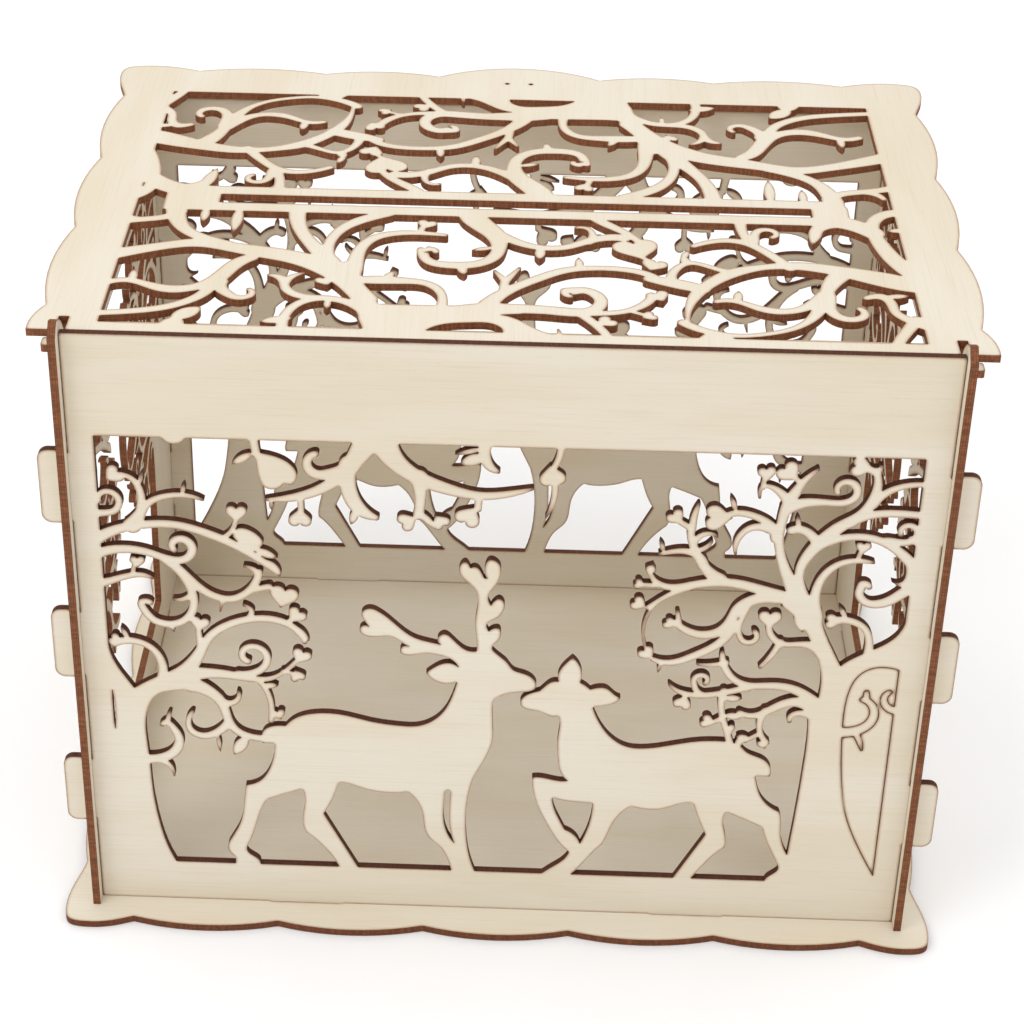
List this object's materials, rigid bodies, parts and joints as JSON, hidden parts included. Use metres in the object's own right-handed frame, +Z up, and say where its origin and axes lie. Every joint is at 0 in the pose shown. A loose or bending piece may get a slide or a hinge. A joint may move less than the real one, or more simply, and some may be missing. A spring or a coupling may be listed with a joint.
{
  "type": "wedding card box",
  "caption": "Flat-pack wedding card box of cut plywood: fretwork walls with deer and trees, and a hinged fretwork lid with a slot for cards.",
  "frame": {"origin": "middle of the underside of the base board, on the surface the box stands on", "axes": "+Z up, +X to the right along the hinge, -Y the side where the lid is hinged, +Y the side where a hasp closes it"},
  "size_m": [0.298, 0.2321, 0.2308],
  "materials": {
    "basswood_ply": "unfinished, with scorched cut edges"
  },
  "bodies": {
    "box": {"base_board": "basswood_ply", "hinge_side_panel": "basswood_ply", "hasp_side_panel": "basswood_ply", "left_side_panel": "basswood_ply", "right_side_panel": "basswood_ply", "uncut_infill": "basswood_ply"},
    "lid": {"lid_board": "basswood_ply", "hinge_strip": "basswood_ply"}
  },
  "joints": [
    {"name": "lid_hinge", "type": "hinge", "parent": "box", "child": "lid", "pos_m": [0, -0.09185, 0.21875], "axis": [1, 0, 0], "range_deg": [0, 90]}
  ]
}
